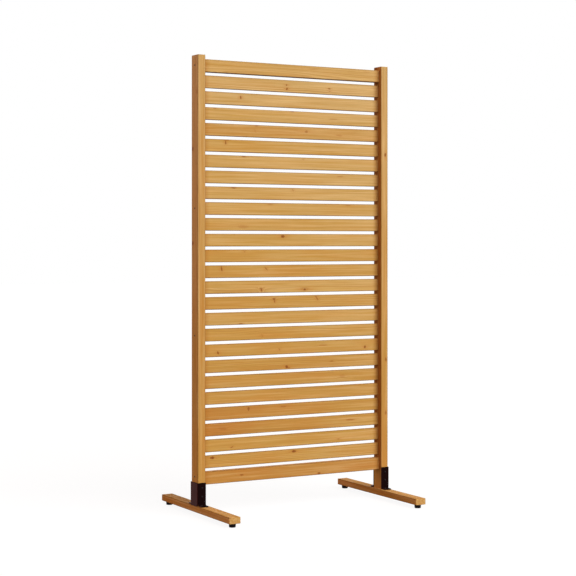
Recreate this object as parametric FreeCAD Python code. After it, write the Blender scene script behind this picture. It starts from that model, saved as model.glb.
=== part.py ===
import FreeCAD, Part
import math
import os

# Garden privacy screen: a slatted wooden panel that stands on two foot beams.
# Millimetres. Origin on the ground under the middle of the panel,
# +X to the right, +Y to the back, +Z up.

# ---- Driving dimensions -------------------------------------------------------------
total_height = 1800.0
width_over_posts = 880.0

post_width = 33.0
post_depth = 56.0
post_above_rail = 15.0
post_arris = 2.0

rail_height = 50.0
rail_thickness = 25.0
rail_above_beam = 80.0
rail_arris = 2.0
tenon_length = 12.0
tenon_thickness = 12.0
tenon_height = 34.0

slat_count = 25
slat_height = 50.0
slat_thickness = 10.0
slat_chamfer = 1.5
mortise_depth = 10.0
joinery_clearance = 0.1

beam_length = 604.0
beam_width = 47.0
beam_thickness = 25.0
beam_arris = 2.0
beam_end_chamfer = 1.0
beam_beyond_post = 2.5         # outwards; the bracket's web overhangs the rest

steel_thickness = 4.0
bracket_height = 91.0
bracket_side_bend = 1.0        # inside radius of the bends between web and flanges
bracket_tab_bend = 3.0         # inside radius of the bends above the tabs
tab_length = 25.5
tab_corner_radius = 4.0
corner_relief = 1.5
flange_screw_heights = (38.0, 72.0)
tab_screw_spacing = 18.0
tab_screw_setback = 12.0       # from the tab's free end

screw_diameter = 4.0
screw_hole_clearance = 0.1
post_screw_length = 60.0
post_screw_head_diameter = 8.0
post_screw_slats = (9, 17)     # counted from the top
bottom_screw_lift = 8.0        # above the bottom rail's middle
bracket_screw_head_diameter = 8.0
bracket_screw_crown_diameter = 5.6
bracket_screw_head_height = 2.4
flange_screw_length = 25.0
tab_screw_length = 20.0

foot_height = 15.0
foot_inset = 22.0              # from the beam's end to the foot's axis
stud_diameter = 8.0            # M8
stud_reach = 20.0              # stud above the beam's underside
stud_hex_width = 13.0
stud_hex_height = 4.0
stud_hex_above_sole = 4.0
stud_end_chamfer = 1.0
stud_bore_depth = 22.0
running_clearance = 0.05
grip_top_diameter = 27.0
grip_bottom_diameter = 25.6
grip_flutes = 10
grip_flute_radius = 2.0
grip_flute_depth = 0.7
grip_top_gap = 0.2
sole_height = 3.0
sole_diameter = 25.0
sole_edge_chamfer = 0.6
sole_peg_diameter = 6.0
sole_peg_height = 3.0
sole_barb_diameter = 7.4
sole_barb_height = 1.0
nut_flange_diameter = 21.0
nut_flange_thickness = 1.5
nut_barrel_diameter = 10.0
nut_height = 12.0
nut_prongs = 4
nut_prong_width = 4.0
nut_prong_thickness = 1.0
nut_prong_radius = 9.2         # from the nut's axis to the prong's inner side
nut_prong_height = 6.0

# ---- Places worked out from them ----------------------------------------------------
beam_bottom = foot_height
beam_top = beam_bottom + beam_thickness
post_outer = width_over_posts / 2
post_inner = post_outer - post_width
post_middle = post_outer - post_width / 2
bracket_outer = post_outer + steel_thickness
beam_outer = post_outer + beam_beyond_post
beam_middle = beam_outer - beam_width / 2
bottom_rail_bottom = beam_top + rail_above_beam
bottom_rail_top = bottom_rail_bottom + rail_height
top_rail_bottom = total_height - post_above_rail - rail_height
slat_gap = (top_rail_bottom - bottom_rail_top - slat_count * slat_height) / (slat_count + 1)
slat_pitch = slat_height + slat_gap
foot_offset = beam_length / 2 - foot_inset

UP = FreeCAD.Vector(0, 0, 1)
BACK = FreeCAD.Vector(0, 1, 0)
RIGHT = FreeCAD.Vector(1, 0, 0)


def at(x, y, z):
    return FreeCAD.Vector(x, y, z)


def slat_bottom(number_from_top):
    """Height of a slat's lower edge."""
    return top_rail_bottom - number_from_top * slat_pitch


def box(x0, x1, y0, y1, z0, z1):
    return Part.makeBox(x1 - x0, y1 - y0, z1 - z0, at(x0, y0, z0))


def edges_along(shape, direction):
    """The straight edges that run in one direction."""
    found = []
    for edge in shape.Edges:
        if isinstance(edge.Curve, Part.Line):
            if abs(abs(edge.tangentAt(edge.FirstParameter).dot(direction)) - 1) < 1e-6:
                found.append(edge)
    return found


def edge_near(shape, direction, place):
    """The straight edge in one direction whose middle is nearest to a place."""
    candidates = edges_along(shape, direction)
    return min(candidates, key=lambda edge: (edge.CenterOfMass - place).Length)


def rounded_bar(x0, x1, y0, y1, z0, z1, direction, radius):
    """A planed bar of wood with its long edges rounded."""
    bar = box(x0, x1, y0, y1, z0, z1)
    return bar.makeFillet(radius, edges_along(bar, direction))


def chamfered_bar(x0, x1, y0, y1, z0, z1, direction, size):
    """A planed bar of wood with its long edges chamfered."""
    bar = box(x0, x1, y0, y1, z0, z1)
    return bar.makeChamfer(size, edges_along(bar, direction))


def mirrored(shape, side):
    """The piece as built for the right side, or its mirror image for the left."""
    if side > 0:
        return shape.copy()
    return shape.mirror(at(0, 0, 0), RIGHT)


def revolved(points):
    """A turned solid about Z from (radius, height) points."""
    corners = [at(radius, 0, height) for radius, height in points]
    face = Part.Face(Part.makePolygon(corners + corners[:1]))
    return face.revolve(at(0, 0, 0), UP, 360)


# ---- Fasteners ------------------------------------------------------------------------
def countersunk_screw(length, head_diameter):
    """A wood screw along -Z, its flat head level with the origin."""
    head_radius = head_diameter / 2
    shank_radius = screw_diameter / 2
    cone_height = head_radius - shank_radius
    return revolved([(0, 0), (head_radius, 0), (shank_radius, -cone_height), (shank_radius, -length),
                     (0, -length)])


def pan_head_screw(length):
    """A wood screw along -Z, the underside of its tapered head level with the origin."""
    head_radius = bracket_screw_head_diameter / 2
    shank_radius = screw_diameter / 2
    return revolved([(0, bracket_screw_head_height),
                     (bracket_screw_crown_diameter / 2, bracket_screw_head_height),
                     (head_radius, 0), (shank_radius, 0), (shank_radius, -length), (0, -length)])


def hole_for(length, head_diameter=0.0):
    """The space that a screw along -Z takes, with a countersink if it has a sunk head."""
    radius = screw_diameter / 2 + screw_hole_clearance
    hole = Part.makeCylinder(radius, length + screw_hole_clearance, at(0, 0, 0), -UP)
    if head_diameter:
        hole = hole.fuse(countersunk_screw(length, head_diameter))
    return hole


def aimed(shape, place, outward):
    """Turn a piece built along -Z so that its head looks outward, and move it to its place."""
    turned = shape.copy()
    turned.Placement = FreeCAD.Placement(place, FreeCAD.Rotation(UP, outward))
    return turned


def post_screw_places():
    """Right-hand post: where the screws go in, and which way their heads look."""
    heights = [top_rail_bottom + rail_height / 2,
               bottom_rail_bottom + rail_height / 2 + bottom_screw_lift]
    heights += [slat_bottom(number) + slat_height / 2 for number in post_screw_slats]
    return [(at(post_outer, 0, height), RIGHT) for height in heights]


def flange_screw_places():
    """Right-hand bracket: the screws through its front and rear flanges."""
    places = []
    for facing in (-1, 1):
        for height in flange_screw_heights:
            face = facing * (post_depth / 2 + steel_thickness)
            places.append((at(post_middle, face, beam_top + height), BACK * facing))
    return places


def tab_screw_places():
    """Right-hand bracket: the screws through its tabs into the beam."""
    reach = post_depth / 2 + steel_thickness + tab_length - tab_screw_setback
    places = []
    for facing in (-1, 1):
        for step in (-0.5, 0.5):
            place = at(post_middle + step * tab_screw_spacing, facing * reach, beam_top + steel_thickness)
            places.append((place, UP))
    return places


def screw_group(screw, places, side):
    return Part.makeCompound([mirrored(aimed(screw, place, outward), side) for place, outward in places])


# ---- Woodwork --------------------------------------------------------------------------
def slat(number_from_top):
    bottom = slat_bottom(number_from_top)
    reach = post_inner + mortise_depth - joinery_clearance
    bar = chamfered_bar(-reach, reach, -slat_thickness / 2, slat_thickness / 2,
                        bottom, bottom + slat_height, RIGHT, slat_chamfer)
    if number_from_top in post_screw_slats:
        bar = drilled_for_post_screws(bar)
    return bar


def rail(bottom):
    """A rail with shouldered stub tenons."""
    bar = rounded_bar(-post_inner, post_inner, -rail_thickness / 2, rail_thickness / 2,
                      bottom, bottom + rail_height, RIGHT, rail_arris)
    reach = post_inner + tenon_length - joinery_clearance
    tenon_bottom = bottom + (rail_height - tenon_height) / 2
    tenons = box(-reach, reach, -tenon_thickness / 2, tenon_thickness / 2,
                 tenon_bottom, tenon_bottom + tenon_height)
    return drilled_for_post_screws(bar.fuse(tenons).removeSplitter())


def drilled_for_post_screws(bar):
    for place, outward in post_screw_places():
        if bar.BoundBox.ZMin < place.z < bar.BoundBox.ZMax:
            hole = aimed(hole_for(post_screw_length), place, outward)
            bar = bar.cut(hole).cut(mirrored(hole, -1))
    return bar


def slat_mortise(number_from_top):
    """A stopped housing that the slat's end rests in, with a little play round it."""
    bottom = slat_bottom(number_from_top)
    half = slat_thickness / 2 + joinery_clearance
    return chamfered_bar(post_inner - mortise_depth, post_inner + mortise_depth, -half, half,
                         bottom, bottom + slat_height + joinery_clearance, RIGHT, slat_chamfer)


def tenon_mortise(rail_bottom):
    bottom = rail_bottom + (rail_height - tenon_height) / 2
    half = tenon_thickness / 2 + joinery_clearance
    return box(post_inner - tenon_length, post_inner + tenon_length, -half, half,
               bottom, bottom + tenon_height + joinery_clearance)


def post():
    """The right-hand post, mortised on its inner face."""
    wood = rounded_bar(post_inner, post_outer, -post_depth / 2, post_depth / 2,
                       beam_top, total_height, UP, post_arris)
    mortises = [slat_mortise(number) for number in range(1, slat_count + 1)]
    mortises += [tenon_mortise(bottom_rail_bottom), tenon_mortise(top_rail_bottom)]
    holes = [aimed(hole_for(post_screw_length, post_screw_head_diameter), place, outward)
             for place, outward in post_screw_places()]
    holes += [aimed(hole_for(flange_screw_length), place, outward)
              for place, outward in flange_screw_places()]
    return wood.cut(mortises + holes)


def foot_beam():
    """The right-hand foot beam, drilled for the tab screws and seated for the nuts."""
    wood = rounded_bar(beam_outer - beam_width, beam_outer, -beam_length / 2, beam_length / 2,
                       beam_bottom, beam_top, BACK, beam_arris)
    ends = [edge for face in wood.Faces if abs(face.normalAt(0, 0).y) > 0.999 for edge in face.Edges]
    wood = wood.makeChamfer(beam_end_chamfer, ends)
    holes = [aimed(hole_for(tab_screw_length), place, outward) for place, outward in tab_screw_places()]
    for facing in (-1, 1):
        seat = drive_in_nut_outline().fuse(
            Part.makeCylinder(nut_barrel_diameter / 2, stud_bore_depth))
        seat.translate(at(beam_middle, facing * foot_offset, beam_bottom))
        holes.append(seat)
    return wood.cut(holes)


# ---- Bracket ----------------------------------------------------------------------------
def bracket_channel():
    """Web and flanges round the right-hand post, open towards the panel."""
    half = post_depth / 2
    outline = [at(post_inner, -half, 0), at(post_outer, -half, 0),
               at(post_outer, half, 0), at(post_inner, half, 0),
               at(post_inner, half + steel_thickness, 0), at(bracket_outer, half + steel_thickness, 0),
               at(bracket_outer, -half - steel_thickness, 0), at(post_inner, -half - steel_thickness, 0)]
    channel = Part.Face(Part.makePolygon(outline + outline[:1])).extrude(UP * bracket_height)
    channel.translate(UP * beam_top)
    middle = beam_top + bracket_height / 2
    inside = [edge_near(channel, UP, at(post_outer, facing * half, middle)) for facing in (-1, 1)]
    channel = channel.makeFillet(bracket_side_bend, inside)
    outside = [edge_near(channel, UP, at(bracket_outer, facing * (half + steel_thickness), middle))
               for facing in (-1, 1)]
    return channel.makeFillet(bracket_side_bend + steel_thickness, outside)


def bracket_tab():
    """The front flange's foot, bent forwards to lie on the beam."""
    face = -post_depth / 2
    outer_bend = bracket_tab_bend + steel_thickness
    top = beam_top + outer_bend + 2 * corner_relief
    tip = face - steel_thickness - tab_length
    profile = [at(post_inner, face, top), at(post_inner, face, beam_top), at(post_inner, tip, beam_top),
               at(post_inner, tip, beam_top + steel_thickness),
               at(post_inner, face - steel_thickness, beam_top + steel_thickness),
               at(post_inner, face - steel_thickness, top)]
    width = post_width - bracket_side_bend
    tab = Part.Face(Part.makePolygon(profile + profile[:1])).extrude(RIGHT * width)
    middle = post_inner + width / 2
    tab = tab.makeFillet(outer_bend, [edge_near(tab, RIGHT, at(middle, face, beam_top))])
    crease = at(middle, face - steel_thickness, beam_top + steel_thickness)
    tab = tab.makeFillet(bracket_tab_bend, [edge_near(tab, RIGHT, crease)])
    corners = [edge_near(tab, UP, at(x, tip, beam_top)) for x in (post_inner, post_inner + width)]
    return tab.makeFillet(tab_corner_radius, corners)


def bracket():
    """The right-hand U bracket of bent sheet steel."""
    half = post_depth / 2
    relief_top = beam_top + bracket_tab_bend + steel_thickness + corner_relief
    flat_of_web = half - bracket_side_bend
    steel = bracket_channel()
    front_tab = bracket_tab()
    for tab, facing in ((front_tab, -1), (front_tab.mirror(at(0, 0, 0), BACK), 1)):
        y0, y1 = sorted((facing * flat_of_web, facing * (half + 2 * steel_thickness)))
        steel = steel.cut(box(post_inner - 1, bracket_outer + 1, y0, y1, beam_top - 1, relief_top))
        steel = steel.fuse(tab)
    steel = steel.removeSplitter()
    for place, outward in flange_screw_places() + tab_screw_places():
        hole = Part.makeCylinder(screw_diameter / 2 + screw_hole_clearance, 2 * steel_thickness,
                                 place + outward * steel_thickness / 2, outward * -1)
        steel = steel.cut(hole)
    return steel


# ---- Levelling foot, built about Z with the beam's underside at z = 0 --------------------
def drive_in_nut_outline():
    """The nut without its bore: flange, barrel and prongs, as it sits in the wood."""
    body = revolved([(0, 0), (nut_flange_diameter / 2, 0), (nut_flange_diameter / 2, nut_flange_thickness),
                     (nut_barrel_diameter / 2, nut_flange_thickness),
                     (nut_barrel_diameter / 2, nut_height), (0, nut_height)])
    half = nut_prong_width / 2
    root = nut_flange_thickness / 2
    triangle = [at(nut_prong_radius, -half, root), at(nut_prong_radius, half, root),
                at(nut_prong_radius, 0, nut_flange_thickness + nut_prong_height)]
    prong = Part.Face(Part.makePolygon(triangle + triangle[:1])).extrude(RIGHT * nut_prong_thickness)
    for number in range(nut_prongs):
        turned = prong.copy()
        turned.rotate(at(0, 0, 0), UP, number * 360 / nut_prongs)
        body = body.fuse(turned)
    return body.removeSplitter()


def drive_in_nut():
    bore = Part.makeCylinder(stud_diameter / 2 + running_clearance, nut_height)
    return drive_in_nut_outline().cut(bore)


def stud():
    """M8 stud with a hexagonal head that the grip is moulded round."""
    head_bottom = sole_height - foot_height + stud_hex_above_sole
    corner = at(stud_hex_width / math.sqrt(3), 0, head_bottom)
    corners = [FreeCAD.Rotation(UP, 60 * number).multVec(corner) for number in range(6)]
    head = Part.Face(Part.makePolygon(corners + corners[:1])).extrude(UP * stud_hex_height)
    radius = stud_diameter / 2
    shank = revolved([(0, head_bottom), (radius, head_bottom), (radius, stud_reach - stud_end_chamfer),
                      (radius - stud_end_chamfer, stud_reach), (0, stud_reach)])
    return head.fuse(shank).removeSplitter()


def grip():
    """Tapered, fluted hand grip of the foot, moulded on the stud."""
    bottom = sole_height - foot_height
    top = -grip_top_gap
    body = revolved([(0, bottom), (grip_bottom_diameter / 2, bottom), (grip_top_diameter / 2, top), (0, top)])
    lean = math.atan2((grip_top_diameter - grip_bottom_diameter) / 2, top - bottom)
    flute = Part.makeCylinder(grip_flute_radius, 3 * foot_height, at(0, 0, -1.5 * foot_height))
    flute.rotate(at(0, 0, 0), BACK, math.degrees(lean))
    middle_radius = (grip_top_diameter + grip_bottom_diameter) / 4
    flute.translate(at(middle_radius + grip_flute_radius - grip_flute_depth, 0, (top + bottom) / 2))
    flutes = []
    for number in range(grip_flutes):
        turned = flute.copy()
        turned.rotate(at(0, 0, 0), UP, number * 360 / grip_flutes)
        flutes.append(turned)
    return body.cut(flutes + [stud(), sole_socket()])


def peg_profile(play):
    """The sole's barbed peg as (radius, height) points, larger all round by some play."""
    foot = sole_height - foot_height
    peg = sole_peg_diameter / 2 + play
    barb = sole_barb_diameter / 2 + play
    shoulder = foot + sole_peg_height - sole_barb_height - play
    tip = foot + sole_peg_height + play
    return [(peg, foot), (peg, shoulder), (barb, shoulder), (peg, tip), (0, tip)]


def sole_socket():
    """The hollow under the grip in which the sole's peg turns."""
    bottom = sole_height - foot_height
    return revolved([(0, bottom)] + peg_profile(running_clearance))


def sole():
    """Rubber sole that stays still on the ground while the grip turns on its peg."""
    ground = -foot_height
    radius = sole_diameter / 2
    top = sole_height - foot_height - running_clearance
    return revolved([(0, ground), (radius - sole_edge_chamfer, ground), (radius, ground + sole_edge_chamfer),
                     (radius, top), (sole_peg_diameter / 2, top)] + peg_profile(0.0))


# ---- The whole screen --------------------------------------------------------------------
def all_parts():
    parts = {}
    for number in range(1, slat_count + 1):
        parts["slat_%02d" % number] = slat(number)
    parts["top_rail"] = rail(top_rail_bottom)
    parts["bottom_rail"] = rail(bottom_rail_bottom)
    right_pieces = {"post": post(), "foot_beam": foot_beam(), "bracket": bracket()}
    foot_pieces = {"grip": grip(), "stud": stud(), "sole": sole(), "drive_in_nut": drive_in_nut()}
    groups = {"post_screws": (countersunk_screw(post_screw_length, post_screw_head_diameter),
                              post_screw_places()),
              "bracket_to_post_screws": (pan_head_screw(flange_screw_length), flange_screw_places()),
              "bracket_to_beam_screws": (pan_head_screw(tab_screw_length), tab_screw_places())}
    for side_name, side in (("left", -1), ("right", 1)):
        for name, shape in right_pieces.items():
            parts["%s_%s" % (side_name, name)] = mirrored(shape, side)
        for name, (screw, places) in groups.items():
            parts["%s_%s" % (side_name, name)] = screw_group(screw, places, side)
        for end_name, facing in (("front", -1), ("rear", 1)):
            for name, shape in foot_pieces.items():
                placed = shape.copy()
                placed.translate(at(side * beam_middle, facing * foot_offset, beam_bottom))
                parts["%s_%s_foot_%s" % (end_name, side_name, name)] = placed
    return parts


os.makedirs("parts", exist_ok=True)
for part_name, part_shape in all_parts().items():
    part_shape.exportStep("parts/%s.step" % part_name)
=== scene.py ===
import math
import random

import bmesh
import bpy
from mathutils import Matrix, Vector

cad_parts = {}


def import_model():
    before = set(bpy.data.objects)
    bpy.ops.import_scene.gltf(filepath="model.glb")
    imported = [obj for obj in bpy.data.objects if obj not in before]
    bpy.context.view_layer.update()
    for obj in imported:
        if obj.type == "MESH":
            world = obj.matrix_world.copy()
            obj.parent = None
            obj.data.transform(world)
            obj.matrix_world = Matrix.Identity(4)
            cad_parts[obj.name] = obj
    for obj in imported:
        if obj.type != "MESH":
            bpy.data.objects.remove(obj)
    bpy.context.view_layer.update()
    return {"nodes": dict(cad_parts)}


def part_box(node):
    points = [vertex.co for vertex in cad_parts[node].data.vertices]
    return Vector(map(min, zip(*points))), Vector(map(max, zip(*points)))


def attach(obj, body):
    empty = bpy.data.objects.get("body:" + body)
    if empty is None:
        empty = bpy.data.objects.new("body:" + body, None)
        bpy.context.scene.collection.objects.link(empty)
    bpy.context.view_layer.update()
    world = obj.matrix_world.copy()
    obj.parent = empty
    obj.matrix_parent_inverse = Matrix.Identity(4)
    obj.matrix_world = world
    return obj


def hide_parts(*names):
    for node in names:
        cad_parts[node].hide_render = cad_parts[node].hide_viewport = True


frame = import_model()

# Garden privacy screen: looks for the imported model. Metres, same axes as the CAD:
# +X to the right, +Y to the back, +Z up, ground at z = 0.

NODES = frame["nodes"]
MM = 0.001
SIDES = {"left": -1, "right": 1}
ENDS = {"front": -1, "rear": 1}

# ---- Sizes shared with the CAD model ----------------------------------------------------
POST_MIDDLE = 423.5 * MM
POST_OUTER = 440.0 * MM
POST_INNER = 407.0 * MM
POST_HALF_WIDTH = 16.5 * MM
POST_HALF_DEPTH = 28.0 * MM
POST_BOTTOM = 40.0 * MM
POST_TOP = 1800.0 * MM
PANEL_BOTTOM = 120.0 * MM
RAIL_HALF_DEPTH = 12.5 * MM
SLAT_HALF_HEIGHT = 25.0 * MM
SLAT_HALF_DEPTH = 5.0 * MM
SLAT_COUNT = 25
BEAM_MIDDLE = 419.0 * MM
BEAM_HALF_WIDTH = 23.5 * MM
BEAM_HALF_THICKNESS = 12.5 * MM
BEAM_TOP = 40.0 * MM
FOOT_OFFSET = 280.0 * MM
STEEL = 4.0 * MM

SCREW_RADIUS = 2.0 * MM
POST_SCREW_LENGTH = 60.0 * MM
POST_SCREW_BOARDS = ("top_rail", "slat_09", "slat_17", "bottom_rail")
BOTTOM_SCREW_LIFT = 8.0 * MM                # above the bottom rail's middle
FLANGE_SCREW_LENGTH = 25.0 * MM
FLANGE_SCREW_RISES = (38.0 * MM, 72.0 * MM)     # above the beam
TAB_SCREW_LENGTH = 20.0 * MM
TAB_SCREW_STEPS = (-9.0 * MM, 9.0 * MM)         # from the post's middle
TAB_SCREW_REACH = 45.5 * MM                     # from the screen's middle plane

# ---- Small rounds that the CAD leaves out -------------------------------------------------
WOOD_EDGE = 0.3 * MM
STEEL_EDGE = 0.35 * MM
GRIP_EDGE = 0.35 * MM
SOLE_EDGE = 0.2 * MM
NUT_EDGE = 0.1 * MM
SCREW_EDGE = 0.12 * MM
SHARP_CAD_EDGE = math.radians(30.0)         # edges that turn more than this are rounded
SHARP_SCREW_EDGE = math.radians(35.0)

# ---- Seeds of the random draws ------------------------------------------------------------
SLAT_SEED = 100                             # and the slat's number
RAIL_SEEDS = {"top_rail": 200, "bottom_rail": 201}
POST_SEED = 300                             # and the side's sign
BEAM_SEED = 400                             # and the side's sign
POST_SCREW_SEED = 7
BRACKET_SCREW_SEED = 8


# ---- Shader helpers ---------------------------------------------------------------------
class Tree:
    """Short calls that add a shader node, set or link its inputs, and return its output."""

    def __init__(self, tree):
        self.tree = tree

    def add(self, kind, inputs=(), output=0, **settings):
        node = self.tree.nodes.new("ShaderNode" + kind)
        for name, value in settings.items():
            setattr(node, name, value)
        for key, value in dict(inputs).items():
            self.feed(node.inputs[key], value)
        return node.outputs[output]

    def feed(self, socket, value):
        if isinstance(value, bpy.types.NodeSocket):
            self.tree.links.new(value, socket)
        else:
            socket.default_value = value[:3] if socket.type == "VECTOR" else value

    def use(self, group, inputs):
        """A node that runs a group; returns its outputs."""
        node = self.tree.nodes.new("ShaderNodeGroup")
        node.node_tree = group
        for label, value in inputs.items():
            self.feed(node.inputs[label], value)
        return node.outputs

    def split(self, vector):
        """The three parts of a vector."""
        node = self.tree.nodes.new("ShaderNodeSeparateXYZ")
        self.feed(node.inputs[0], vector)
        return node.outputs

    def math(self, operation, *values, clamp=False):
        return self.add("Math", dict(enumerate(values)), operation=operation, use_clamp=clamp)

    def vector(self, operation, first, second):
        return self.add("VectorMath", {0: first, 1: second}, operation=operation)

    def scale(self, vector, factor):
        return self.add("VectorMath", {"Vector": vector, "Scale": factor}, operation="SCALE")

    def noise(self, vector, stretch, detail=2.0, roughness=0.5):
        """Noise from 0 to 1, with its cells this many to the metre along each axis."""
        place = self.vector("MULTIPLY", vector, stretch)
        return self.add("TexNoise", {"Vector": place, "Scale": 1.0, "Detail": detail,
                                     "Roughness": roughness})

    def sway(self, vector, stretch, detail, size):
        """A vector noise about zero, this many metres across."""
        place = self.vector("MULTIPLY", vector, stretch)
        moved = self.add("TexNoise", {"Vector": place, "Scale": 1.0, "Detail": detail}, output=1)
        return self.scale(self.vector("SUBTRACT", moved, (0.5, 0.5, 0.5)), size)

    def step(self, value, low, high):
        """Smooth step from 0 at low to 1 at high; low may be the larger."""
        if low > high:
            return self.math("SUBTRACT", 1.0, self.step(value, high, low))
        return self.add("MapRange", {"Value": value, "From Min": low, "From Max": high},
                        interpolation_type="SMOOTHSTEP")

    def swing(self, value, amount):
        """A multiplier about 1 from a noise about 0.5."""
        return self.math("MULTIPLY_ADD", value, 2.0 * amount, 1.0 - amount)

    def mix(self, factor, first, second):
        return self.add("Mix", {0: factor, 6: first, 7: second}, output=2, data_type="RGBA")

    def bell(self, *terms):
        """exp(-(a*a + b*b + ...))"""
        total = None
        for term in terms:
            square = self.math("MULTIPLY", term, term)
            total = square if total is None else self.math("ADD", total, square)
        return self.math("EXPONENT", self.math("MULTIPLY", total, -1.0))

    def seen_directly(self):
        """1 for a ray from the camera, off a gloss or through glass, and 0 for any other."""
        path = self.tree.nodes.new("ShaderNodeLightPath").outputs
        return self.math("MAXIMUM", path["Is Camera Ray"],
                         self.math("MAXIMUM", path["Is Glossy Ray"], path["Is Transmission Ray"]))


def new_group(name, inputs, outputs):
    """A node group; returns its tree helper, its input sockets by name, and its output node."""
    group = bpy.data.node_groups.new(name, "ShaderNodeTree")
    for label, kind in inputs:
        group.interface.new_socket(label, in_out="INPUT", socket_type="NodeSocket" + kind)
    for label, kind in outputs:
        group.interface.new_socket(label, in_out="OUTPUT", socket_type="NodeSocket" + kind)
    entry = group.nodes.new("NodeGroupInput")
    leave = group.nodes.new("NodeGroupOutput")
    return Tree(group), {s.name: s for s in entry.outputs if s.name}, leave


def new_material(name):
    """A material with a Principled shader; returns it, its tree helper and the shader."""
    material = bpy.data.materials.new(name)
    material.use_nodes = True
    shader = material.node_tree.nodes["Principled BSDF"]
    return material, Tree(material.node_tree), shader


def rgb(red, green, blue):
    """A colour as it is read off a screen, 0 to 255, turned into the linear value of a shader."""
    def linear(value):
        value /= 255.0
        return value / 12.92 if value <= 0.04045 else ((value + 0.055) / 1.055) ** 2.4
    return (linear(red), linear(green), linear(blue), 1.0)


# ---- Wood ---------------------------------------------------------------------------------
# In the wood groups a place is (along the grain, across the wide face, through the board),
# in metres from the board's middle.
AXES = {"X": (0, 2, 1), "Z": (2, 0, 1), "Y": (1, 0, 2)}   # along, across, through, for each grain

# The late wood and knot rim colours also serve as painted shade on the boards and posts.
WOOD_YELLOW = rgb(203, 157, 80)
WOOD_ORANGE = rgb(190, 128, 60)
WOOD_PALE = rgb(218, 182, 122)
LATE_WOOD_AND_SHADE = rgb(164, 104, 38)
KNOT_HALO = rgb(188, 118, 52)
KNOT_RED = rgb(164, 94, 42)
KNOT_DARK = rgb(138, 72, 28)
KNOT_RIM_AND_SHADE = rgb(104, 52, 22)

# Cells to the metre of each noise: along, across and through the board
PITH_WANDER = (1.1, 0.0, 0.0)
RING_WAVE = (5.0, 30.0, 30.0)
FIBRE = (14.0, 1500.0, 1500.0)
STREAK = (3.6, 120.0, 120.0)
PATCH = (4.0, 26.0, 26.0)
DASH = (70.0, 2300.0, 2300.0)
KNOT_EDGE = (210.0, 210.0, 60.0)

# Ranges of the random draws, in metres and radians
PITH_DISTANCE = (0.035, 0.09)
PITH_TURN = (0.35, 1.5)
RING_SPACING = (0.0019, 0.0032)

ARRIS = (4.0 * MM, 0.9 * MM)        # painted shade darkens from the first to the second of these
ARRIS_PAINTED_SHADE = 0.4
END_PALENESS = 0.1
BUMP_STRENGTH = 0.6
BUMP_DEPTH = 0.3 * MM
WOOD_GLOSS = 0.03
BEAM_GLOSS = 0.01

# Painted shade on a board that enters the posts: in the corner it makes with them, and on its
# underside
CORNER_SHADE_REACH = 34.0 * MM
CORNER_SHADE_SHARE = 0.6
UNDERSIDE_SHADE_SHARE = 0.8

# Painted light on a post: 1 on its outer side, painted paler and less red as sheen, and -1 on its
# inner side beside the panel, painted redder and darker as shade
LIT_SIDE_REDNESS = -0.35
LIT_SIDE_PALENESS = 0.6
LIT_BELOW_PANEL = 0.9
LIT_EDGE_BLEND = 5.0 * MM
INNER_SHADE_SHARE = 0.5
SHADE_BEHIND_SLATS = (0.0, 9.0 * MM)      # distance behind the panel's middle

KNOT_PLACE = ("Along", "Across", "Strength", "Half length", "Half height", "Lean", "Tail")
KNOT_MARKS = ("Core", "Rim", "Halo", "Bend")


def floats(names):
    return [(name, "Float") for name in names]


def knot_group():
    """One knot: a small branch that runs through the board, and what it does to the grain."""
    tree, given, leave = new_group("knot",
                                   [("Grain", "Vector")] + floats(KNOT_PLACE + KNOT_MARKS),
                                   floats(KNOT_MARKS))
    place = tree.split(given["Grain"])
    up = tree.math("SUBTRACT", place[1], given["Across"])
    across = tree.math("DIVIDE", up, given["Half height"])
    level = tree.math("SUBTRACT", place[0], given["Along"])
    along = tree.math("ADD", level, tree.math("MULTIPLY", up, given["Lean"]))
    along = tree.math("DIVIDE", along, given["Half length"])
    ragged = tree.noise(given["Grain"], KNOT_EDGE, detail=3.0, roughness=0.6)
    distance = tree.math("SQRT", tree.math("ADD", tree.math("MULTIPLY", along, along),
                                           tree.math("MULTIPLY", across, across)))
    distance = tree.math("ADD", distance, tree.math("MULTIPLY_ADD", ragged, 1.5, -0.75))
    strength = given["Strength"]
    core = tree.math("MULTIPLY", tree.step(distance, 1.25, 0.45), strength)
    rim = tree.bell(tree.math("DIVIDE", tree.math("SUBTRACT", distance, 0.95), 0.22))
    rim = tree.math("MULTIPLY", rim, tree.math("MULTIPLY", strength, strength))
    tail = tree.math("DIVIDE", level, given["Tail"])
    halo = tree.bell(tail, tree.math("DIVIDE", across, 1.3))
    halo = tree.math("MULTIPLY", halo, strength)
    bend = tree.bell(tree.math("DIVIDE", along, 3.4), tree.math("DIVIDE", across, 1.8))
    bend = tree.math("MULTIPLY", tree.math("MULTIPLY", bend, given["Half height"]), 0.9)
    for name, mark in (("Core", core), ("Rim", rim), ("Halo", halo)):
        tree.feed(leave.inputs[name], tree.math("MAXIMUM", mark, given[name]))
    tree.feed(leave.inputs["Bend"], tree.math("ADD", bend, given["Bend"]))
    return tree.tree


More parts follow.
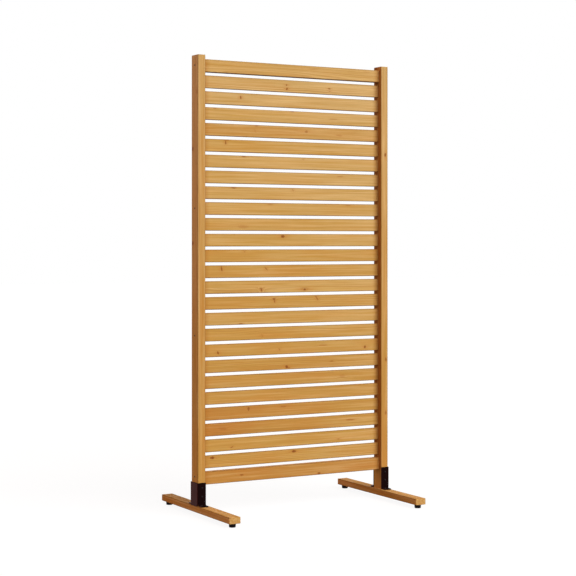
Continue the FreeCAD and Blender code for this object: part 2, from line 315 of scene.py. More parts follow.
def wood_group():
    """Glazed softwood in three dimensions: growth rings about a pith, fibre, streaks, knots."""
    tree, given, leave = new_group(
        "glazed_softwood",
        [("Grain", "Vector"), ("Seed", "Float"), ("Pith", "Vector")]
        + floats(("Ring", "Half width", "Half depth", "Redness", "Paleness", "End grain"))
        + floats(KNOT_MARKS),
        [("Color", "Color"), ("Roughness", "Float"), ("Height", "Float")])
    seed = given["Seed"]
    place = tree.vector("ADD", given["Grain"], tree.scale((17.3, 5.9, 9.1), seed))

    # Distance from the pith, which wanders along the board.
    wander = tree.sway(place, PITH_WANDER, detail=1.0, size=0.022)
    wave = tree.sway(place, RING_WAVE, detail=2.0, size=0.003)
    from_pith = tree.vector("SUBTRACT", given["Grain"], given["Pith"])
    from_pith = tree.vector("ADD", from_pith, tree.vector("ADD", wander, wave))
    from_pith = tree.vector("MULTIPLY", from_pith, (0.0, 1.0, 1.0))
    radius = tree.add("VectorMath", {0: from_pith}, output=1, operation="LENGTH")
    radius = tree.math("ADD", radius, given["Bend"])

    # Rings: pale early wood that darkens slowly into a narrow, sharp-edged band of late wood.
    ring_place = tree.add("CombineXYZ", {0: tree.math("MULTIPLY", radius, 95.0), 1: seed})
    uneven = tree.add("TexNoise", {"Vector": ring_place, "Scale": 1.0, "Detail": 2.0})
    phase = tree.math("ADD", tree.math("DIVIDE", radius, given["Ring"]),
                      tree.math("MULTIPLY", uneven, 3.0))
    cycle = tree.math("FRACT", phase)
    late = tree.math("MULTIPLY", tree.step(cycle, 0.25, 0.88), tree.step(cycle, 1.0, 0.93))
    year = tree.add("CombineXYZ", {0: tree.math("FLOOR", phase), 1: seed})
    vigour = tree.add("TexWhiteNoise", {"Vector": year}, noise_dimensions="3D")
    late = tree.math("MULTIPLY", late, tree.math("MULTIPLY_ADD", vigour, 0.6, 0.4))

    fibre = tree.noise(place, FIBRE, detail=3.0, roughness=0.6)
    streak = tree.noise(place, STREAK, detail=3.0, roughness=0.55)
    patch = tree.noise(place, PATCH, detail=2.0)
    dash = tree.step(tree.noise(place, DASH, detail=1.0), 0.66, 0.76)

    # Colour.
    redness = tree.math("MULTIPLY_ADD", patch, 1.2, -0.6)
    redness = tree.math("ADD", redness, given["Redness"], clamp=True)
    early = tree.mix(redness, WOOD_YELLOW, WOOD_ORANGE)
    pale = tree.math("MULTIPLY_ADD", streak, 1.8, -0.9)
    pale = tree.math("ADD", pale, given["Paleness"], clamp=True)
    early = tree.mix(pale, early, WOOD_PALE)
    colour = tree.mix(tree.math("MULTIPLY", late, 0.42), early, LATE_WOOD_AND_SHADE)
    for noise, amount in ((fibre, 0.09), (streak, 0.08), (patch, 0.10)):
        colour = tree.scale(colour, tree.swing(noise, amount))
    colour = tree.scale(colour, tree.math("MULTIPLY_ADD", dash, -0.16, 1.0))
    colour = tree.mix(tree.math("MULTIPLY", given["Halo"], 0.55), colour, KNOT_HALO)
    core = given["Core"]
    knot = tree.mix(tree.step(core, 0.45, 1.0), KNOT_RED, KNOT_DARK)
    colour = tree.mix(tree.math("MULTIPLY_ADD", core, 0.75, tree.math("MULTIPLY", core, 0.2)),
                      colour, knot)
    colour = tree.mix(tree.math("MULTIPLY", given["Rim"], 0.6), colour, KNOT_RIM_AND_SHADE)

    # Painted shade along the arrises, and the end grain is a little paler.
    parts = tree.split(given["Grain"])
    side = tree.math("SUBTRACT", given["Half width"], tree.math("ABSOLUTE", parts[1]))
    face = tree.math("SUBTRACT", given["Half depth"], tree.math("ABSOLUTE", parts[2]))
    arris_shade = tree.step(tree.math("MAXIMUM", side, face), *ARRIS)
    colour = tree.scale(colour, tree.math("MULTIPLY_ADD", arris_shade, -ARRIS_PAINTED_SHADE, 1.0))
    colour = tree.mix(tree.math("MULTIPLY", given["End grain"], END_PALENESS), colour, WOOD_PALE)

    rough = tree.math("MULTIPLY_ADD", patch, 0.14, 0.56)
    rough = tree.math("SUBTRACT", rough, tree.math("MULTIPLY", late, 0.07))
    rough = tree.math("ADD", rough, tree.math("MULTIPLY", given["End grain"], 0.12))
    height = tree.math("MULTIPLY_ADD", late, 0.5, tree.math("MULTIPLY", fibre, 0.55))
    height = tree.math("SUBTRACT", height, tree.math("MULTIPLY", dash, 0.5))
    height = tree.math("ADD", height, tree.math("MULTIPLY", core, 0.7))
    tree.feed(leave.inputs["Color"], colour)
    tree.feed(leave.inputs["Roughness"], rough)
    tree.feed(leave.inputs["Height"], height)
    return tree.tree


KNOT = knot_group()
WOOD = wood_group()


def wood(name, middle, grain, half_width, half_depth, chance, redness, paleness, knots,
         fade=0.0, blush=0.0, gloss=WOOD_GLOSS, outward=0.0, joint=0.0):
    """The material of one board, given its middle, the axis of its grain and half its section.

    A knot is (along, across, strength, half length, half height, lean, tail), with "side" after that
    where it runs across the board instead of through it. The timber gets paler by its fade, a
    painted light gradient, and redder by blush for each metre along the grain.

    Only a post has outward, the sign of X on its outer side: that side is painted paler as sheen,
    and the inner side is painted redder beside the panel and darker behind the slats as shade. Only
    a board between the posts has joint, the distance from its middle at which it enters them: shade
    is painted into those corners and onto its underside."""
    material, tree, shader = new_material(name)
    spot = tree.tree.nodes.new("ShaderNodeTexCoord")
    own = tree.split(tree.vector("SUBTRACT", spot.outputs["Object"], tuple(middle)))
    along, across, through = (own[axis] for axis in AXES[grain])
    place = tree.add("CombineXYZ", {0: along, 1: across, 2: through})
    turned = tree.add("CombineXYZ", {0: along, 1: through, 2: across})
    facing = tree.split(spot.outputs["Normal"])
    end_grain = tree.step(tree.math("ABSOLUTE", facing[AXES[grain][0]]), 0.75, 0.95)

    marks = {name: 0.0 for name in KNOT_MARKS}
    for knot in knots:
        given = {"Grain": turned if knot[-1] == "side" else place, **dict(zip(KNOT_PLACE, knot))}
        outputs = tree.use(KNOT, {**given, **marks})
        marks = {name: outputs[name] for name in KNOT_MARKS}

    distance = chance.uniform(*PITH_DISTANCE)
    turn = chance.uniform(*PITH_TURN) * chance.choice((-1.0, 1.0)) + chance.choice((0.0, math.pi))
    pith = (0.0, distance * math.sin(turn), distance * math.cos(turn))
    reddened = tree.math("MULTIPLY_ADD", along, blush, redness)
    faded = tree.math("MULTIPLY_ADD", along, fade, paleness)
    # Painted light on a post: the outer side and every face below the panel are painted paler and
    # less red as sheen, and the inner side redder as shade.
    if outward:
        panel_edge = PANEL_BOTTOM - (POST_BOTTOM + POST_TOP) / 2
        below = tree.step(along, panel_edge + LIT_EDGE_BLEND, panel_edge)
        below = tree.math("MULTIPLY_ADD", below, 1.0 + LIT_BELOW_PANEL, -1.0)
        lit_side = tree.math("MAXIMUM", tree.math("MULTIPLY", facing[0], outward), below)
        reddened = tree.math("MULTIPLY_ADD", lit_side, LIT_SIDE_REDNESS, reddened)
        faded = tree.math("MULTIPLY", faded,
                          tree.math("MULTIPLY_ADD", lit_side, LIT_SIDE_PALENESS, 1.0))
    board = tree.use(WOOD, {
        "Grain": place, "Seed": chance.uniform(0.0, 9.0), "Pith": pith,
        "Ring": chance.uniform(*RING_SPACING), "Half width": half_width, "Half depth": half_depth,
        "Redness": reddened, "Paleness": faded, "End grain": end_grain, **marks})
    colour = board["Color"]
    # Painted shade on the post's inner side, darker still behind the slats.
    if outward:
        inner_shade = tree.math("MULTIPLY", lit_side, -INNER_SHADE_SHARE, clamp=True)
        colour = tree.mix(inner_shade, colour, LATE_WOOD_AND_SHADE)
        behind = tree.math("MULTIPLY", inner_shade, tree.step(through, *SHADE_BEHIND_SLATS))
        colour = tree.mix(behind, colour, KNOT_RIM_AND_SHADE)
    # Painted shade in the corners where the board enters the posts, and on its underside.
    if joint:
        corner_shade = tree.step(tree.math("ABSOLUTE", along), joint - CORNER_SHADE_REACH, joint)
        colour = tree.mix(tree.math("MULTIPLY", corner_shade, CORNER_SHADE_SHARE), colour, LATE_WOOD_AND_SHADE)
        underside_shade = tree.math("MULTIPLY", facing[2], -UNDERSIDE_SHADE_SHARE, clamp=True)
        colour = tree.mix(underside_shade, colour, KNOT_RIM_AND_SHADE)
    bump = tree.add("Bump", {"Strength": BUMP_STRENGTH, "Distance": BUMP_DEPTH,
                             "Height": board["Height"]})
    tree.feed(shader.inputs["Base Color"], colour)
    tree.feed(shader.inputs["Roughness"], board["Roughness"])
    tree.feed(shader.inputs["Normal"], bump)
    shader.inputs["Specular IOR Level"].default_value = gloss
    return material


# ---- Tones and knots of the boards --------------------------------------------------------
# A tone is (redness, paleness), each 0 to 1 at the board's middle. The paler tones of the upper
# boards are partly painted sheen, partly each board's own tone.
BOARD_LIGHT_FADE = 0.35                   # painted light: paleness to the metre, towards the right
SLAT_TONES = {                      # each tone and the slats that have it, 1 at the top
    "straw": ((0.3, 0.65), (1, 2)),
    "sand": ((0.1, 0.5), (3, 6, 7, 8)),
    "apricot": ((0.45, 0.3), (4,)),
    "honey": ((0.1, 0.3), (5, 9, 10, 11, 14, 16)),
    "gold": ((0.2, 0.1), (12, 13, 15, 17, 18, 24, 25)),
    "amber": ((0.35, 0.1), (19, 20, 21)),
    "copper": ((0.55, 0.05), (22, 23))}
SLAT_BLUSH = {22: -0.5, 23: -0.9}   # slat number: redness to the metre, towards the right
RAIL_TONES = {"top_rail": (0.1, 0.45), "bottom_rail": (0.8, 0.05)}
POST_TONES = {"left": (0.5, 0.25, 0.42), "right": (0.5, 0.28, 0.55)}   # and fade upwards, a painted sheen that grows towards the top
BEAM_TONE = (0.52, 0.28)

# Knots by slat number, each as (mm from the middle, fraction of the height from the lower edge,
# strength, half length and half height in mm, lean, length of the tail in mm)
KNOT_CONTRAST = 1.2                 # on every strength in these tables, which ends at 1
SLAT_KNOTS = {
    1: ((-31, 0.60, 0.7, 2.8, 3.4, 0.0, 14), (-30, 0.28, 0.8, 3.0, 4.4, -0.3, 14),
        (169, 0.50, 0.7, 5.0, 2.6, 0.2, 14), (171, 0.28, 0.3, 3.0, 2.2, 0.0, 14)),
    2: ((-240, 0.65, 0.8, 2.4, 6.0, 0.1, 12),),
    3: ((-354, 0.92, 0.45, 8.0, 1.8, 1.0, 16), (-4, 0.95, 0.5, 7.0, 2.0, 0.0, 16),
        (188, 0.50, 0.35, 22.0, 2.0, 1.0, 30)),
    4: ((-170, 0.92, 0.55, 6.0, 2.2, 0.0, 16), (-175, 0.52, 0.3, 1.8, 5.0, 0.5, 10),
        (61, 0.62, 0.5, 6.5, 4.6, 0.0, 40), (216, 0.42, 0.25, 14.0, 3.5, 1.0, 24)),
    5: ((-307, 0.76, 0.75, 2.2, 7.5, 0.1, 10), (-302, 0.93, 0.4, 12.0, 1.6, 0.0, 16)),
    6: ((-226, 0.92, 0.7, 7.5, 2.2, 0.0, 14), (46, 0.85, 0.3, 1.8, 4.0, 0.5, 10)),
    7: ((221, 0.76, 0.35, 12.0, 2.0, 1.0, 20),),
    8: ((-272, 0.91, 0.7, 9.0, 2.2, 0.5, 18), (-2, 0.82, 0.4, 2.2, 5.0, 0.6, 10)),
    9: ((-107, 0.88, 0.3, 12.0, 3.0, 0.0, 22), (261, 0.88, 0.35, 12.0, 2.2, 0.0, 20)),
    10: ((-229, 0.32, 0.25, 22.0, 6.0, 0.0, 34),),
    11: ((-49, 0.80, 1.0, 7.5, 4.8, 0.0, 26),),
    12: ((-224, 0.85, 0.35, 2.0, 5.0, 0.3, 10),),
    13: ((-325, 0.72, 0.75, 2.6, 9.0, 0.2, 12), (-125, 0.70, 0.6, 2.8, 6.5, 0.9, 12)),
    14: ((53, 0.23, 1.0, 5.0, 4.0, 0.0, 46), (-148, 0.38, 0.6, 7.0, 2.0, 0.0, 16),
         (-147, 0.24, 0.75, 3.0, 5.5, 0.2, 12)),
    15: ((-89, 0.74, 0.7, 5.5, 4.2, 0.3, 16), (-87, 0.56, 0.6, 2.6, 6.0, 0.3, 10),
         (111, 0.72, 0.6, 2.8, 8.0, 0.7, 12), (106, 0.88, 0.45, 6.0, 1.6, 0.0, 12)),
    16: ((-239, 0.08, 0.6, 9.0, 2.4, 0.0, 20),),
    17: ((-144, 0.36, 0.3, 2.4, 6.0, 0.4, 14),),
    18: ((-341, 0.32, 0.75, 3.8, 5.0, 0.2, 12), (342, 0.33, 0.85, 4.6, 4.8, 0.0, 14),
         (-64, 0.40, 0.4, 2.6, 5.0, 0.4, 12), (140, 0.60, 0.35, 20.0, 2.6, 0.0, 34)),
    19: ((-31, 0.21, 1.0, 5.6, 6.0, 0.2, 20), (-20, 0.13, 0.6, 6.0, 2.0, 1.0, 14),
         (181, 0.52, 0.5, 6.5, 2.0, 0.0, 16)),
    20: ((231, 0.50, 0.2, 14.0, 6.0, 0.0, 24),),
    22: ((-205, 0.74, 0.7, 4.4, 6.5, 0.0, 60), (-46, 0.76, 0.45, 12.0, 3.0, 0.6, 30)),
    23: ((-320, 0.55, 0.3, 16.0, 7.0, 1.0, 40), (271, 0.58, 0.45, 20.0, 3.4, 1.0, 34)),
    24: ((-280, 0.27, 0.6, 4.0, 3.4, -1.2, 12), (213, 0.28, 0.35, 5.0, 2.6, 0.0, 16)),
    25: ((2, 0.81, 1.0, 8.5, 4.4, 0.0, 20), (-366, 0.80, 1.0, 8.0, 4.2, 0.0, 22))}
RAIL_KNOTS = {
    "top_rail": ((86, 0.75, 0.2, 24.0, 2.0, 1.0, 40), (346, 0.80, 0.2, 16.0, 2.0, 1.0, 30)),
    "bottom_rail": ((116, 0.13, 0.9, 6.5, 3.0, 0.0, 18), (-239, 0.53, 0.65, 8.0, 3.0, 0.5, 24))}

# Knots of the posts, as wood() takes them
POST_KNOTS = {
    "left": ((515 * MM, 18 * MM, 1.0, 7 * MM, 4.5 * MM, 0.0, 14 * MM, "side"),
             (145 * MM, 17 * MM, 1.0, 7 * MM, 4.5 * MM, 0.0, 14 * MM, "side"),
             (735 * MM, -20 * MM, 0.5, 6 * MM, 3 * MM, 0.0, 14 * MM, "side")),
    "right": ((512 * MM, 4 * MM, 0.9, 7 * MM, 4 * MM, 0.0, 20 * MM),
              (-340 * MM, 7 * MM, 0.8, 7 * MM, 4 * MM, 0.0, 20 * MM),
              (-563 * MM, 6 * MM, 0.65, 7 * MM, 4 * MM, 0.0, 20 * MM))}


def slat_tone(number):
    return next(tone for tone, slats in SLAT_TONES.values() if number in slats)


def slat_knots(marks):
    """Knots in a board as high as a slat, from the numbers of the tables above."""
    return [(along * MM, (fraction - 0.5) * 2 * SLAT_HALF_HEIGHT,
             min(1.0, KNOT_CONTRAST * strength), half_length * MM, half_height * MM, lean, tail * MM)
            for along, fraction, strength, half_length, half_height, lean, tail in marks]


def middle_of(node):
    low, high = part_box(node)
    return (low + high) / 2


def round_edges(piece, width, sharp):
    edge = piece.modifiers.new("edges", "BEVEL")
    edge.width = width
    edge.segments = 2
    edge.limit_method = "ANGLE"
    edge.angle_limit = sharp
    return edge


def even_normals(piece):
    smooth = piece.modifiers.new("normals", "WEIGHTED_NORMAL")
    smooth.keep_sharp = True


def dress(node, material, edge_width):
    """Give a CAD node its material, smooth its rounds, and break its sharp edges a little."""
    piece = NODES[node]
    piece.data.materials.clear()
    piece.data.materials.append(material)
    weld = piece.modifiers.new("weld", "WELD")
    weld.merge_threshold = 1e-6
    round_edges(piece, edge_width, SHARP_CAD_EDGE).harden_normals = True
    even_normals(piece)


def dress_board(node, grain, half_width, half_depth, chance, redness, paleness, knots, **more):
    material = wood(node + "_wood", middle_of(node), grain, half_width, half_depth, chance,
                    redness, paleness, knots, **more)
    dress(node, material, WOOD_EDGE)


def dress_wood():
    for number in range(1, SLAT_COUNT + 1):
        redness, paleness = slat_tone(number)
        dress_board(f"slat_{number:02d}", "X", SLAT_HALF_HEIGHT, SLAT_HALF_DEPTH,
                    random.Random(SLAT_SEED + number), redness, paleness,
                    slat_knots(SLAT_KNOTS.get(number, ())), fade=BOARD_LIGHT_FADE,
                    blush=SLAT_BLUSH.get(number, 0.0), joint=POST_INNER)
    for node, (redness, paleness) in RAIL_TONES.items():
        dress_board(node, "X", SLAT_HALF_HEIGHT, RAIL_HALF_DEPTH, random.Random(RAIL_SEEDS[node]),
                    redness, paleness, slat_knots(RAIL_KNOTS[node]), fade=BOARD_LIGHT_FADE,
                    joint=POST_INNER)
    for side, sign in SIDES.items():
        redness, paleness, fade = POST_TONES[side]
        dress_board(side + "_post", "Z", POST_HALF_WIDTH, POST_HALF_DEPTH,
                    random.Random(POST_SEED + sign), redness, paleness, POST_KNOTS[side],
                    fade=fade, outward=float(sign))
        redness, paleness = BEAM_TONE
        dress_board(side + "_foot_beam", "Y", BEAM_HALF_WIDTH, BEAM_HALF_THICKNESS,
                    random.Random(BEAM_SEED + sign), redness, paleness, (), gloss=BEAM_GLOSS)


dress_wood()


# ---- Metal, plastic and rubber ------------------------------------------------------------
# Cells to the metre of each noise
CLOUD = (38.0, 38.0, 38.0)
RUB = (160.0, 160.0, 420.0)


def coated(name, colour, roughness, grain, depth, specular=0.5, metallic=0.0, worn=None,
           sheen=(1.0, 1.0, 1.0, 1.0), lit_sideways=None):
    """A smooth coloured surface with a fine texture: powder coat, moulded plastic, rubber, zinc.

    The texture has this many grains to the metre, this deep. Rubbed spots take the worn colour, and
    faces that look along X take the lit sideways colour, a painted sheen, where they are given."""
    material, tree, shader = new_material(name)
    spot = tree.tree.nodes.new("ShaderNodeTexCoord")
    place = spot.outputs["Object"]
    peel = tree.noise(place, (grain, grain, grain), detail=2.0)
    cloud = tree.noise(place, CLOUD, detail=3.0)
    tone = tree.scale(colour, tree.swing(cloud, 0.22))
    if worn:
        rub = tree.noise(place, RUB, detail=3.0)
        tone = tree.mix(tree.math("MULTIPLY", tree.step(rub, 0.66, 0.82), 0.5), tone, worn)
    if lit_sideways:
        facing = tree.split(spot.outputs["Normal"])
        tone = tree.mix(tree.step(tree.math("ABSOLUTE", facing[0]), 0.5, 0.95), tone, lit_sideways)
    tree.feed(shader.inputs["Base Color"], tone)
    tree.feed(shader.inputs["Roughness"], tree.math("MULTIPLY_ADD", cloud, 0.16, roughness - 0.08))
    bump = tree.add("Bump", {"Strength": 0.5, "Distance": depth, "Height": peel})
    tree.feed(shader.inputs["Normal"], bump)
    shader.inputs["Specular IOR Level"].default_value = specular
    shader.inputs["Metallic"].default_value = metallic
    shader.inputs["Specular Tint"].default_value = sheen
    return material


# The bracket's faces that look along X are painted lighter and redder, a painted sheen.
POWDER = coated("powder_coat", rgb(17, 5, 5), roughness=0.46, grain=1500.0, depth=0.00006,
                specular=0.03, worn=rgb(38, 24, 23), sheen=(1.0, 0.5, 0.5, 1.0),
                lit_sideways=rgb(66, 34, 33))
DARK_SCREW = coated("dark_screw_steel", rgb(27, 18, 17), roughness=0.46, grain=2600.0,
                    depth=0.00002, specular=0.12, metallic=0.1)
PLASTIC = coated("moulded_plastic", rgb(12, 5, 6), roughness=0.55, grain=3200.0, depth=0.00004,
                 specular=0.08)
RUBBER = coated("rubber", rgb(16, 10, 10), roughness=0.74, grain=900.0, depth=0.00008,
                specular=0.08)
ZINC = coated("zinc_plate", rgb(176, 176, 170), roughness=0.34, grain=1200.0, depth=0.00002,
              metallic=1.0)

for side in SIDES:
    dress(side + "_bracket", POWDER, STEEL_EDGE)
    for end in ENDS:
        dress(f"{end}_{side}_foot_grip", PLASTIC, GRIP_EDGE)
        dress(f"{end}_{side}_foot_sole", RUBBER, SOLE_EDGE)
        dress(f"{end}_{side}_foot_drive_in_nut", ZINC, NUT_EDGE)


# ---- Screws and studs -----------------------------------------------------------------------
# Outlines of the heads from the top down, as (radius, height over the seat)
SUNK_HEAD = [(3.9 * MM, -0.05 * MM), (3.98 * MM, -0.12 * MM), (2.1 * MM, -1.95 * MM)]
PAN_HEAD = [(2.3 * MM, 2.4 * MM), (3.0 * MM, 2.2 * MM), (3.6 * MM, 1.55 * MM), (3.95 * MM, 0.6 * MM),
            (4.0 * MM, 0.0), (2.1 * MM, 0.0)]
SCREW_STEPS = 36                    # corners round a screw
POINT_LENGTH = 1.6 * MM
POINT_RADIUS = 0.4 * MM
RECESS_REACH = 2.3 * MM
RECESS_HALF_WIDTH = 0.55 * MM
RECESS_DEPTH = 1.5 * MM
RECESS_TAPER = 0.62                 # size of its floor, against its mouth


def circle(bm, radius, height, steps):
    return [bm.verts.new((radius * math.cos(2 * math.pi * k / steps),
                          radius * math.sin(2 * math.pi * k / steps), height))
            for k in range(steps)]


def band(bm, first, second):
    """Four-sided faces between two rings of as many corners."""
    count = len(first)
    for k in range(count):
        j = (k + 1) % count
        bm.faces.new((first[k], second[k], second[j], first[j]))


def finished_mesh(name, bm, material):
    mesh = bpy.data.meshes.new(name)
    bm.to_mesh(mesh)
    bm.free()
    for polygon in mesh.polygons:
        polygon.use_smooth = True
    mesh.materials.append(material)
    return mesh


def cross_outline(scale=1.0):
    """The twelve corners of the cross-shaped recess."""
    reach, half = RECESS_REACH, RECESS_HALF_WIDTH
    corners = []
    for quarter in range(4):
        turn = Matrix.Rotation(quarter * math.pi / 2, 2)
        corners += [turn @ Vector(p) * scale for p in ((reach, -half), (reach, half), (half, half))]
    return corners


def screw_mesh(name, head, length):
    """A wood screw along -Z with a cross recess."""
    bm = bmesh.new()
    profile = head + [(SCREW_RADIUS, head[-1][1] - 0.2 * MM), (SCREW_RADIUS, POINT_LENGTH - length),
                      (POINT_RADIUS, -length)]
    rings = [circle(bm, radius, height, SCREW_STEPS) for radius, height in profile]
    for upper, lower in zip(rings, rings[1:]):
        band(bm, upper, lower)
    bm.faces.new(list(reversed(rings[-1])))
    top = head[0][1]
    mouth = [bm.verts.new((p.x, p.y, top)) for p in cross_outline()]
    floor = [bm.verts.new((p.x, p.y, top - RECESS_DEPTH)) for p in cross_outline(RECESS_TAPER)]
    band(bm, mouth, floor)
    bm.faces.new(list(reversed(floor)))
    loops = [bm.edges.get((ring[k], ring[(k + 1) % len(ring)]))
             for ring in (rings[0], mouth) for k in range(len(ring))]
    bmesh.ops.triangle_fill(bm, use_beauty=True, use_dissolve=False, edges=loops)
    bmesh.ops.recalc_face_normals(bm, faces=bm.faces)
    return finished_mesh(name, bm, DARK_SCREW)


def place_screw(name, mesh, place, outward, turn):
    """A screw that rides with the frame, its head looking outward."""
    piece = bpy.data.objects.new(name, mesh)
    bpy.context.scene.collection.objects.link(piece)
    aim = Vector(outward).to_track_quat("Z", "Y").to_matrix().to_4x4()
    piece.matrix_world = Matrix.Translation(place) @ aim @ Matrix.Rotation(turn, 4, "Z")
    round_edges(piece, SCREW_EDGE, SHARP_SCREW_EDGE)
    even_normals(piece)
    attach(piece, "frame")
    return piece


def post_screws():
    mesh = screw_mesh("post_screw", SUNK_HEAD, POST_SCREW_LENGTH)
    heights = [middle_of(name).z for name in POST_SCREW_BOARDS]
    heights[-1] += BOTTOM_SCREW_LIFT
    chance = random.Random(POST_SCREW_SEED)
    for side, sign in SIDES.items():
        for number, height in enumerate(heights, 1):
            piece = place_screw(f"{side}_post_screw_{number}", mesh, (sign * POST_OUTER, 0, height),
                                (sign, 0, 0), chance.uniform(0, math.pi))
            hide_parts(side + "_post_screws")


def bracket_screws():
    flange_mesh = screw_mesh("flange_screw", PAN_HEAD, FLANGE_SCREW_LENGTH)
    tab_mesh = screw_mesh("tab_screw", PAN_HEAD, TAB_SCREW_LENGTH)
    chance = random.Random(BRACKET_SCREW_SEED)
    for side, sign in SIDES.items():
        for end, facing in ENDS.items():
            for number, rise in enumerate(FLANGE_SCREW_RISES, 1):
                place = (sign * POST_MIDDLE, facing * (POST_HALF_DEPTH + STEEL), BEAM_TOP + rise)
                piece = place_screw(f"{end}_{side}_flange_screw_{number}", flange_mesh, place,
                                    (0, facing, 0), chance.uniform(0, math.pi))
                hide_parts(side + "_bracket_to_post_screws")
            for number, step in enumerate(TAB_SCREW_STEPS, 1):
                place = (sign * POST_MIDDLE + step, facing * TAB_SCREW_REACH, BEAM_TOP + STEEL)
                piece = place_screw(f"{end}_{side}_tab_screw_{number}", tab_mesh, place,
                                    (0, 0, 1), chance.uniform(0, math.pi))
                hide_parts(side + "_bracket_to_beam_screws")


STUD_MAJOR = 4.0 * MM               # M8, with its thread's crest and root radius
STUD_MINOR = 3.42 * MM
STUD_PITCH = 1.25 * MM
STUD_BOTTOM = 11.0 * MM
STUD_TOP = 35.0 * MM
STUD_TIP = 1.0 * MM                 # the tip narrows over this length
STUD_STEPS = 28
ROWS_PER_TURN = 7
HEX_RADIUS = 7.5 * MM
HEX_BOTTOM = 7.0 * MM


def thread_radius(height, share):
    """Radius of the thread at a height, this share of a turn round."""
    phase = ((height - STUD_BOTTOM) / STUD_PITCH - share) % 1.0
    crest = 1.0 - abs(2.0 * phase - 1.0)
    radius = STUD_MINOR + (STUD_MAJOR - STUD_MINOR) * min(1.0, max(0.0, 1.35 * crest - 0.15))
    return min(radius, STUD_MAJOR - max(0.0, height - STUD_TOP + STUD_TIP))


def stud_mesh():
    """A threaded shank with a narrowed tip above a hexagonal head, in its place at z."""
    bm = bmesh.new()
    rows = int((STUD_TOP - STUD_BOTTOM) / STUD_PITCH * ROWS_PER_TURN)
    rings = []
    for row in range(rows + 1):
        height = STUD_BOTTOM + (STUD_TOP - STUD_BOTTOM) * row / rows
        ring = []
        for k in range(STUD_STEPS):
            angle = 2 * math.pi * k / STUD_STEPS
            radius = thread_radius(height, k / STUD_STEPS)
            ring.append(bm.verts.new((radius * math.cos(angle), radius * math.sin(angle), height)))
        rings.append(ring)
    for lower, upper in zip(rings, rings[1:]):
        band(bm, upper, lower)
    bm.faces.new(rings[-1])
    bm.faces.new(list(reversed(rings[0])))
    head = [circle(bm, HEX_RADIUS, height, 6) for height in (HEX_BOTTOM, STUD_BOTTOM)]
    band(bm, head[1], head[0])
    bm.faces.new(list(reversed(head[0])))
    bm.faces.new(head[1])
    return finished_mesh("stud", bm, ZINC)


def studs():
    mesh = stud_mesh()
    for side, sign in SIDES.items():
        for end, facing in ENDS.items():
            piece = bpy.data.objects.new(f"{end}_{side}_foot_threaded_stud", mesh)
            bpy.context.scene.collection.objects.link(piece)
            piece.location = (sign * BEAM_MIDDLE, facing * FOOT_OFFSET, 0)
            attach(piece, f"{end}_{side}_adjuster")
            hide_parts(f"{end}_{side}_foot_stud")


post_screws()
bracket_screws()
studs()


# ---- Stage, light and camera ------------------------------------------------------------------
WHITE = (1.0, 1.0, 1.0, 1.0)
FLOOR_HALF = 30.0
FLOOR_MATT = (0.12, 0.12, 0.12, 1.0)
FLOOR_GLOW = 0.91                   # with what the lamps add, this is white
FILL_COLOUR = (1.0, 0.76, 0.68, 1.0)
FILL_STRENGTH = 0.18

# Azimuth from the front towards the right and elevation, in degrees; strength; softness in
# degrees; colour
LAMPS = {"key": (20.0, 28.0, 3.3, 64.0, (1.0, 1.0, 1.0)),
         "top": (30.0, 78.0, 0.42, 50.0, (1.0, 0.86, 0.78)),
         "side": (-96.0, 14.0, 1.1, 40.0, (1.0, 0.58, 0.5)),
         "back": (160.0, 20.0, 0.6, 40.0, (1.0, 1.0, 1.0))}
LAMP_DISTANCE = 6.0

# Fitted to the photograph
CAMERA_PLACE = (-3.0130, -5.3197, 1.0722)
CAMERA_HEADING = -29.346
CAMERA_LENS = 94.38
CAMERA_SHIFT = -0.0811


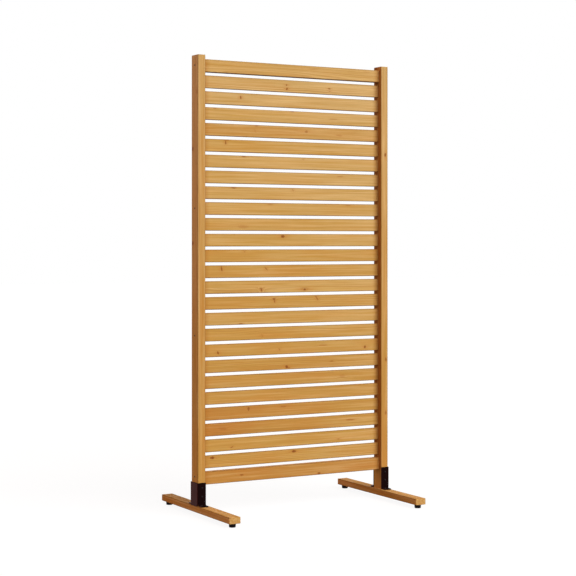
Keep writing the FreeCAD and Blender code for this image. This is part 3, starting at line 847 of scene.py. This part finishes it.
def floor():
    """A plain pale floor: white to the camera and to reflections, and it keeps the shadow."""
    mesh = bpy.data.meshes.new("floor")
    half = FLOOR_HALF
    mesh.from_pydata([(-half, -half, 0), (half, -half, 0), (half, half, 0), (-half, half, 0)],
                     [], [(0, 1, 2, 3)])
    plane = bpy.data.objects.new("floor", mesh)
    bpy.context.scene.collection.objects.link(plane)
    material = bpy.data.materials.new("floor")
    material.use_nodes = True
    material.node_tree.nodes.clear()
    tree = Tree(material.node_tree)
    matt = tree.add("BsdfDiffuse", {"Color": FLOOR_MATT})
    glow = tree.add("Emission", {"Color": WHITE, "Strength": tree.math(
        "MULTIPLY", tree.seen_directly(), FLOOR_GLOW)})
    end = tree.tree.nodes.new("ShaderNodeOutputMaterial")
    tree.feed(end.inputs["Surface"], tree.add("AddShader", {0: matt, 1: glow}))
    mesh.materials.append(material)


def world():
    """White to the camera and to reflections, a weak warm fill for everything else."""
    sky = bpy.data.worlds.new("studio")
    bpy.context.scene.world = sky
    sky.use_nodes = True
    sky.node_tree.nodes.clear()
    tree = Tree(sky.node_tree)
    fill = tree.add("Background", {"Color": FILL_COLOUR, "Strength": FILL_STRENGTH})
    white = tree.add("Background", {"Color": WHITE, "Strength": 1.0})
    end = tree.tree.nodes.new("ShaderNodeOutputWorld")
    tree.feed(end.inputs["Surface"],
              tree.add("MixShader", {0: tree.seen_directly(), 1: fill, 2: white}))


def lamp(name, azimuth, elevation, strength, softness, colour):
    """A far soft light."""
    light = bpy.data.lights.new(name, "SUN")
    light.energy = strength
    light.angle = math.radians(softness)
    light.color = colour
    holder = bpy.data.objects.new(name, light)
    bpy.context.scene.collection.objects.link(holder)
    turn, rise = math.radians(azimuth), math.radians(elevation)
    towards = Vector((math.sin(turn) * math.cos(rise), -math.cos(turn) * math.cos(rise),
                      math.sin(rise)))
    holder.rotation_euler = towards.to_track_quat("Z", "Y").to_euler()
    holder.location = towards * LAMP_DISTANCE


def camera():
    """The photograph's view: eye height a little above the panel's middle, from the left."""
    lens = bpy.data.cameras.new("camera")
    lens.sensor_width = 36.0
    lens.lens = CAMERA_LENS
    lens.shift_y = CAMERA_SHIFT
    lens.clip_end = 200.0
    holder = bpy.data.objects.new("camera", lens)
    bpy.context.scene.collection.objects.link(holder)
    holder.location = CAMERA_PLACE
    holder.rotation_euler = (math.radians(90.0), 0.0, math.radians(CAMERA_HEADING))
    bpy.context.scene.camera = holder


floor()
world()
for name, values in LAMPS.items():
    lamp(name, *values)
camera()
bpy.context.scene.view_settings.view_transform = "Standard"
